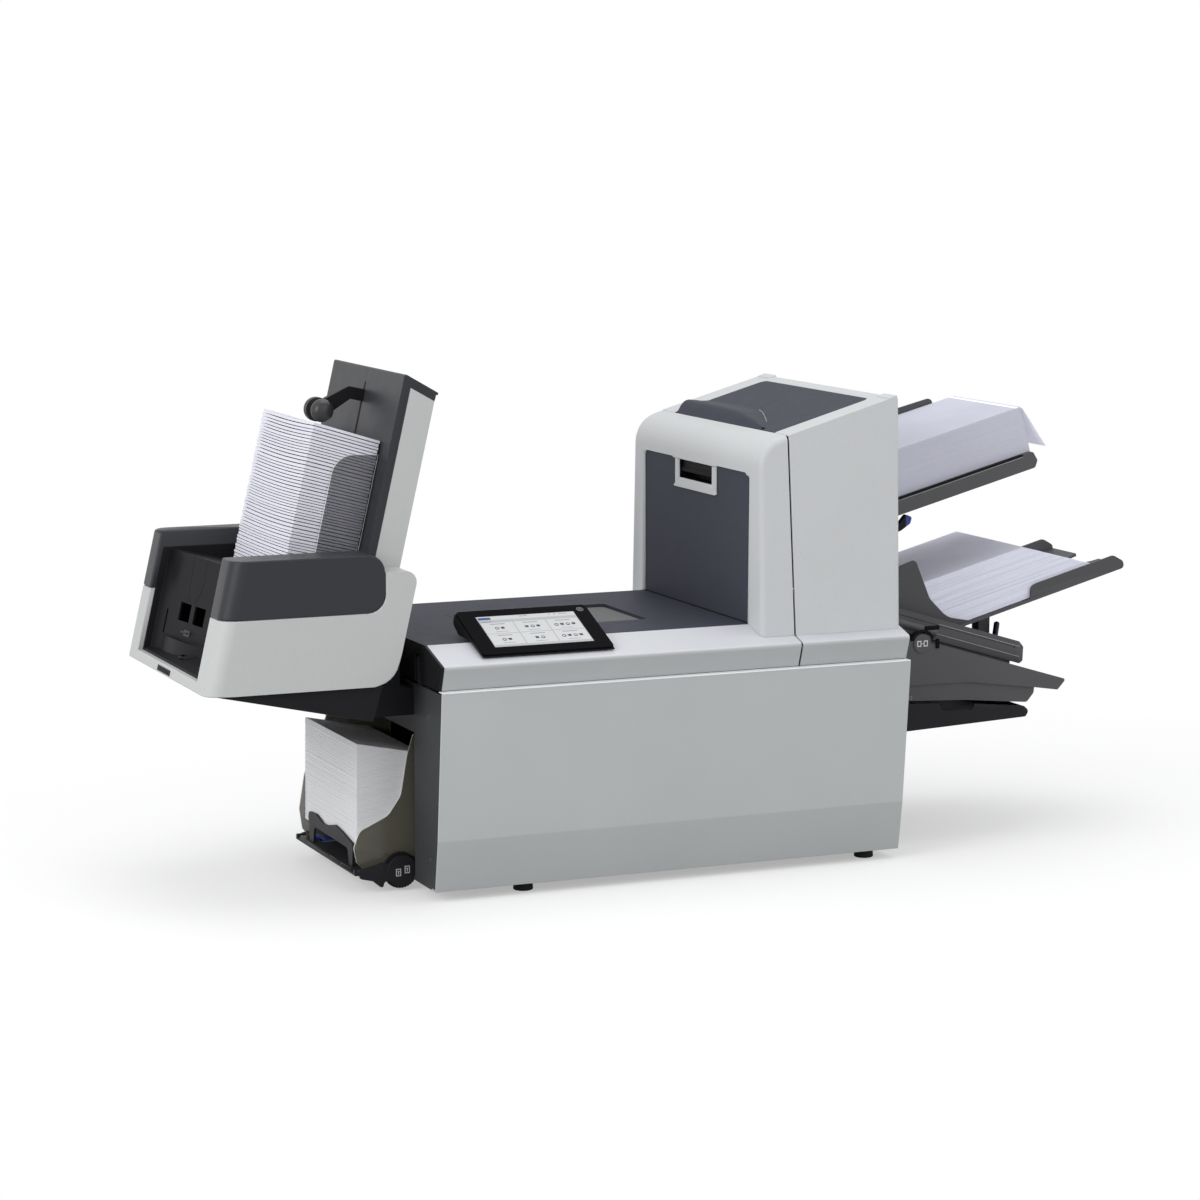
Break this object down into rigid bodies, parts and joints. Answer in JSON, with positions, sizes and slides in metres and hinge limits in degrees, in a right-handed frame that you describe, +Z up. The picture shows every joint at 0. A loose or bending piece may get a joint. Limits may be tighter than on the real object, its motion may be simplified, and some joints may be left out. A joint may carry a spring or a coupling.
{
  "type": "folder inserter",
  "caption": "Table-top folder inserter: hinged body with sheet tower, tilting touch display, leaning envelope stacker, envelope hopper and stepped sheet feeders.",
  "frame": {"origin": "on the desk under the middle of the overall length, in the middle of the width", "axes": "+X along the machine from the envelope stacker to the sheet feeders, +Y to the back, +Z up"},
  "size_m": [1.5499, 0.538, 0.7574],
  "materials": {
    "shell_grey": "fine moulded texture",
    "panel_grey": "satin powder coat",
    "charcoal": "fine moulded texture",
    "soot": "satin",
    "chassis_metal": "matt powder coat",
    "steel": "ground",
    "rubber": "matt",
    "smoke": "clear, smoked",
    "paper": "matt, in layers",
    "screen": "gloss",
    "signal_blue": "gloss"
  },
  "bodies": {
    "base": {"chassis": "chassis_metal", "feet": "rubber", "front_panel": "panel_grey", "rear_panel": "panel_grey", "mains_inlet": "soot", "path_deck": "charcoal", "drive_motor": "steel", "feeder_trim": "shell_grey", "tower_shell": "shell_grey", "throat_block": "soot", "stacker_base": "soot", "stacker_shell": "shell_grey", "stacker_hood": "charcoal", "stacker_platform": "soot", "column": "charcoal", "column_panels": "shell_grey", "pile_guides": "smoke", "output_pile": "paper", "hopper_tray": "soot", "hopper_pile": "paper", "upper_tray": "charcoal", "middle_tray": "charcoal", "insert_frame": "charcoal", "divert_tray": "charcoal"},
    "upper_unit": {"upper_trims": "shell_grey", "upper_end_cap": "charcoal", "top_cover": "charcoal", "idler_plate": "soot", "tower_door": "shell_grey", "door_panel": "charcoal"},
    "display": {"display_housing": "soot", "display_glass": "screen"},
    "main_switch": {"main_switch": "soot"},
    "fold_roller_lower": {"fold_roller_lower": "steel"},
    "fold_roller_upper": {"fold_roller_upper": "steel"},
    "unlock_handle": {"unlock_handle": "soot"},
    "tower_lid": {"tower_lid": "charcoal"},
    "upper_feed_roller": {"upper_feed_roller": "rubber"},
    "middle_feed_roller": {"middle_feed_roller": "rubber"},
    "power_button": {"power_button": "soot"},
    "pile_arm": {"pile_arm": "soot"},
    "pile_roller": {"pile_roller": "rubber"},
    "hopper_guide_near": {"hopper_guide_near": "smoke"},
    "hopper_guide_far": {"hopper_guide_far": "smoke"},
    "hopper_wheel": {"hopper_wheel": "soot"},
    "hopper_lever": {"hopper_lever": "signal_blue"},
    "envelope_roller": {"envelope_roller": "rubber"},
    "upper_guide_far": {"upper_guide_far": "charcoal"},
    "upper_sheets": {"upper_sheets": "paper"},
    "middle_guide_near": {"middle_guide_near": "charcoal"},
    "middle_guide_far": {"middle_guide_far": "charcoal"},
    "middle_sheets": {"middle_sheets": "paper"},
    "upper_lever": {"upper_lever": "signal_blue"},
    "insert_roller": {"insert_roller": "rubber"},
    "insert_guide_near": {"insert_guide_near": "charcoal"},
    "insert_guide_far": {"insert_guide_far": "charcoal"},
    "insert_wheel": {"insert_wheel": "soot"},
    "lower_lever": {"lower_lever": "signal_blue"}
  },
  "joints": [
    {"name": "clamshell", "type": "hinge", "parent": "base", "child": "upper_unit", "pos_m": [-0.43329, 0, 0.345], "axis": [0, -1, 0], "range_deg": [0, 40]},
    {"name": "handle_pull", "type": "hinge", "parent": "upper_unit", "child": "unlock_handle", "pos_m": [0.08171, 0, 0.5905], "axis": [0, 1, 0], "range_deg": [0, 18], "stiffness_Nm_per_rad": 0.08},
    {"name": "lid_swing", "type": "hinge", "parent": "base", "child": "tower_lid", "pos_m": [0.27601, 0, 0.6975], "axis": [0, 1, 0], "range_deg": [0, 75]},
    {"name": "display_tilt", "type": "hinge", "parent": "upper_unit", "child": "display", "pos_m": [-0.27229, -0.18, 0.38], "axis": [1, 0, 0], "range_deg": [-8, 0]},
    {"name": "power_press", "type": "slide", "parent": "display", "child": "power_button", "axis": [0, 0.3746, -0.9272], "range_m": [0, 0.001], "stiffness_N_per_m": 400},
    {"name": "arm_travel", "type": "slide", "parent": "base", "child": "pile_arm", "axis": [0.225, 0, 0.9744], "range_m": [-0.215, 0.01], "deforming": ["output_pile"]},
    {"name": "pile_roller_spin", "type": "hinge", "parent": "pile_arm", "child": "pile_roller", "pos_m": [-0.53305, 0, 0.69698], "axis": [0, 1, 0], "continuous": true},
    {"name": "hopper_wheel_turn", "type": "hinge", "parent": "base", "child": "hopper_wheel", "pos_m": [-0.46029, 0, 0.03], "axis": [0, 1, 0], "range_deg": [0, 60]},
    {"name": "hopper_near_slide", "type": "slide", "parent": "base", "child": "hopper_guide_near", "axis": [0, -1, 0], "range_m": [0, 0.0035]},
    {"name": "hopper_far_slide", "type": "slide", "parent": "base", "child": "hopper_guide_far", "axis": [0, 1, 0], "range_m": [0, 0.0035]},
    {"name": "hopper_lever_lift", "type": "hinge", "parent": "base", "child": "hopper_lever", "pos_m": [-0.48329, 0.088, 0.032], "axis": [0, 1, 0], "range_deg": [0, 30]},
    {"name": "envelope_roller_spin", "type": "hinge", "parent": "base", "child": "envelope_roller", "pos_m": [-0.42929, 0, 0.03227], "axis": [0, 1, 0], "continuous": true},
    {"name": "upper_guide_slide", "type": "slide", "parent": "base", "child": "upper_guide_far", "axis": [0, 1, 0], "range_m": [0, 0.007]},
    {"name": "upper_sheets_out", "type": "slide", "parent": "base", "child": "upper_sheets", "axis": [0.9659, 0, 0.2588], "range_m": [0, 0.15]},
    {"name": "middle_near_slide", "type": "slide", "parent": "base", "child": "middle_guide_near", "axis": [0, -1, 0], "range_m": [0, 0.007]},
    {"name": "middle_far_slide", "type": "slide", "parent": "base", "child": "middle_guide_far", "axis": [0, 1, 0], "range_m": [0, 0.007]},
    {"name": "middle_sheets_out", "type": "slide", "parent": "base", "child": "middle_sheets", "axis": [0.9659, 0, 0.2588], "range_m": [0, 0.15]},
    {"name": "upper_feed_spin", "type": "hinge", "parent": "base", "child": "upper_feed_roller", "pos_m": [0.32494, 0, 0.62143], "axis": [0, 1, 0], "continuous": true},
    {"name": "middle_feed_spin", "type": "hinge", "parent": "base", "child": "middle_feed_roller", "pos_m": [0.32494, 0, 0.39743], "axis": [0, 1, 0], "continuous": true},
    {"name": "insert_feed_spin", "type": "hinge", "parent": "base", "child": "insert_roller", "pos_m": [0.34471, 0, 0.27262], "axis": [0, 1, 0], "continuous": true},
    {"name": "insert_wheel_turn", "type": "hinge", "parent": "base", "child": "insert_wheel", "pos_m": [0.38571, 0, 0.31651], "axis": [0, 1, 0], "range_deg": [0, 60]},
    {"name": "insert_near_slide", "type": "slide", "parent": "base", "child": "insert_guide_near", "axis": [0, -1, 0], "range_m": [0, 0.01]},
    {"name": "insert_far_slide", "type": "slide", "parent": "base", "child": "insert_guide_far", "axis": [0, 1, 0], "range_m": [0, 0.01]},
    {"name": "upper_lever_turn", "type": "hinge", "parent": "base", "child": "upper_lever", "pos_m": [0.31171, -0.096, 0.478], "axis": [0, 1, 0], "range_deg": [-9, 12]},
    {"name": "lower_lever_turn", "type": "hinge", "parent": "base", "child": "lower_lever", "pos_m": [0.58671, -0.02, 0.24071], "axis": [0, 1, 0], "range_deg": [-30, 20]},
    {"name": "fold_lower_spin", "type": "hinge", "parent": "base", "child": "fold_roller_lower", "pos_m": [-0.01329, 0, 0.2948], "axis": [0, 1, 0], "continuous": true},
    {"name": "fold_upper_spin", "type": "hinge", "parent": "upper_unit", "child": "fold_roller_upper", "pos_m": [-0.01329, 0, 0.3272], "axis": [0, 1, 0], "continuous": true},
    {"name": "switch_rock", "type": "hinge", "parent": "base", "child": "main_switch", "pos_m": [0.27471, 0.234, 0.063], "axis": [1, 0, 0], "range_deg": [0, 8]}
  ],
  "couplings": [
    {"joint": "hopper_far_slide", "follows": "hopper_near_slide", "ratio": 1},
    {"joint": "hopper_wheel_turn", "follows": "hopper_near_slide", "rad_per_m": 298.35},
    {"joint": "middle_far_slide", "follows": "middle_near_slide", "ratio": 1},
    {"joint": "insert_far_slide", "follows": "insert_near_slide", "ratio": 1},
    {"joint": "insert_wheel_turn", "follows": "insert_near_slide", "rad_per_m": 104.41},
    {"joint": "fold_upper_spin", "follows": "fold_lower_spin", "ratio": -1}
  ]
}
